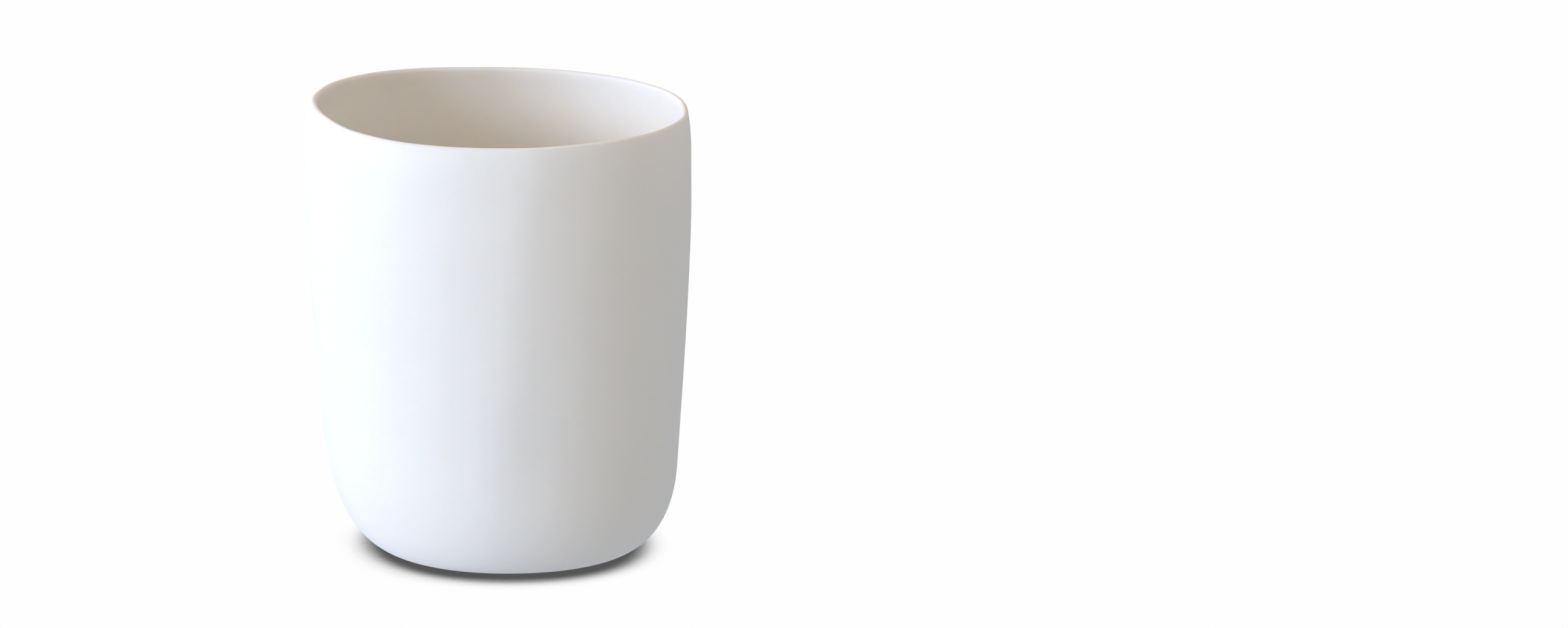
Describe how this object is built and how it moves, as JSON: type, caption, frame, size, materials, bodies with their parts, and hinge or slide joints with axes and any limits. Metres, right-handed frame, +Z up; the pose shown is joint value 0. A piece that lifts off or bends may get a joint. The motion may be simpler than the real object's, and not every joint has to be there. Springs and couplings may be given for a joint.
{
  "type": "pen holder cup",
  "caption": "Round, softly tapered white porcelain pen cup with a rounded heel, a thin uneven rim and soft bumper feet in a shallow recess under its base.",
  "frame": {"origin": "on the surface the cup stands on, under the middle of the cup's box", "axes": "+Z up along the cup towards its rim; the front of the cup, where the rim dips lowest in front, faces -Y; +X to the right as seen from the front"},
  "size_m": [0.0836, 0.084, 0.0986],
  "materials": {
    "porcelain": "unglazed, polished matt white porcelain, faintly translucent at the lip",
    "clear_rubber": "soft clear polyurethane, slightly milky, satin",
    "adhesive_film": "thin translucent acrylic adhesive film"
  },
  "bodies": {
    "root": {"cup_body": "porcelain", "bumper_foot_1": "clear_rubber", "bumper_foot_2": "clear_rubber", "bumper_foot_3": "clear_rubber", "bumper_foot_4": "clear_rubber", "adhesive_disc_1": "adhesive_film", "adhesive_disc_2": "adhesive_film", "adhesive_disc_3": "adhesive_film", "adhesive_disc_4": "adhesive_film"}
  },
  "joints": []
}
